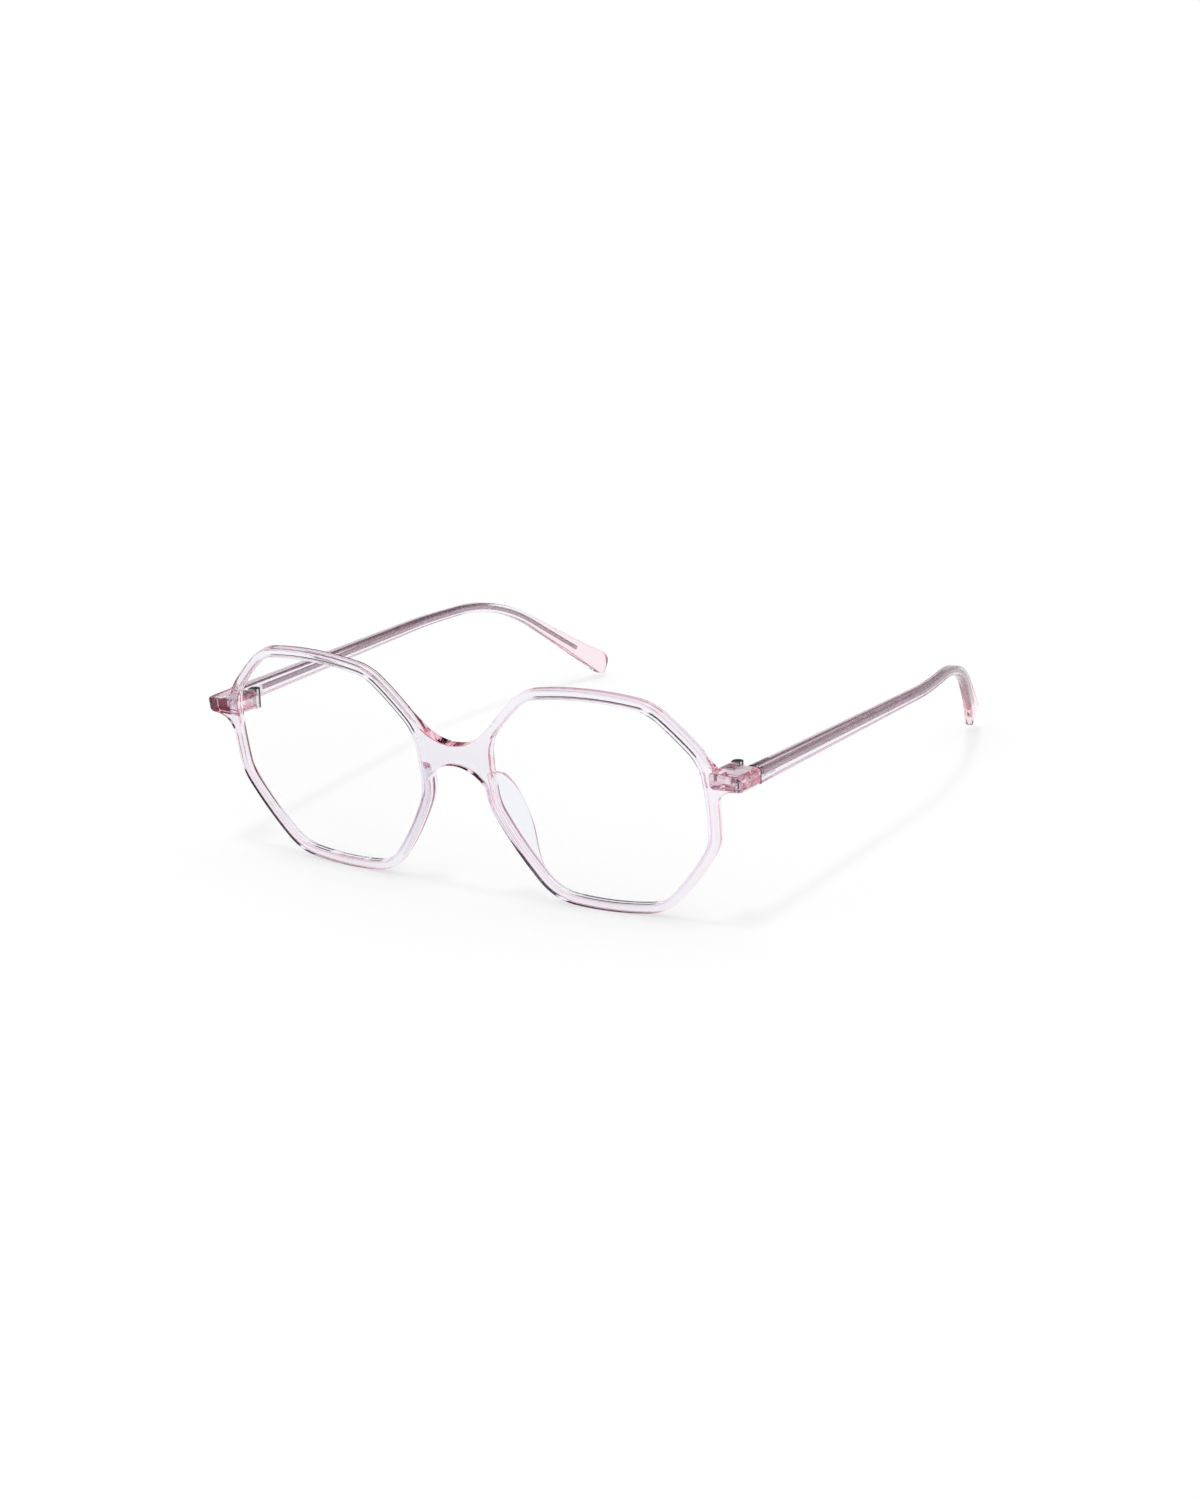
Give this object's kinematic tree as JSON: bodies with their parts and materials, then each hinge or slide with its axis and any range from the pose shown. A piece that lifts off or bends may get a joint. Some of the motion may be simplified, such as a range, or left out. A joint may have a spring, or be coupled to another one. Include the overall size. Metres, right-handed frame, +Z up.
{
  "type": "geometric eyeglasses",
  "caption": "Eyeglasses with a slim clear plastic front, rounded octagon lenses, wire-cored temples bent over the ear, and hinges that fold the temples inward.",
  "frame": {"origin": "middle of the box of the open glasses, on the table that the rims and the temple tips stand on", "axes": "+X across the front to the right as seen from in front, +Y from the front back to the temple tips, +Z up"},
  "size_m": [0.138, 0.1418, 0.0515],
  "materials": {
    "clear_acetate": "polished clear plastic with a very pale pink lilac tint",
    "clear_lens": "clear polished lens without power",
    "clear_pad": "polished clear plastic with a pale blue tint",
    "hinge_metal": "satin nickel silver",
    "screw_metal": "bright steel",
    "core_wire": "satin wire"
  },
  "bodies": {
    "front": {"front_frame": "clear_acetate", "lens_left": "clear_lens", "lens_right": "clear_lens", "nose_pad_left": "clear_pad", "nose_pad_right": "clear_pad", "front_hinge_left": "hinge_metal", "front_hinge_right": "hinge_metal", "hinge_screw_left": "screw_metal", "hinge_screw_right": "screw_metal"},
    "temple_left": {"temple_left": "clear_acetate", "temple_core_left": "core_wire", "temple_hinge_left": "hinge_metal"},
    "temple_right": {"temple_right": "clear_acetate", "temple_core_right": "core_wire", "temple_hinge_right": "hinge_metal"}
  },
  "joints": [
    {"name": "temple_left_fold", "type": "hinge", "parent": "front", "child": "temple_left", "pos_m": [-0.0627, -0.05533, 0.03282], "axis": [0, -0.0668, -0.9978], "range_deg": [0, 85]},
    {"name": "temple_right_fold", "type": "hinge", "parent": "front", "child": "temple_right", "pos_m": [0.0627, -0.05533, 0.03282], "axis": [0, 0.0668, 0.9978], "range_deg": [0, 70]}
  ]
}
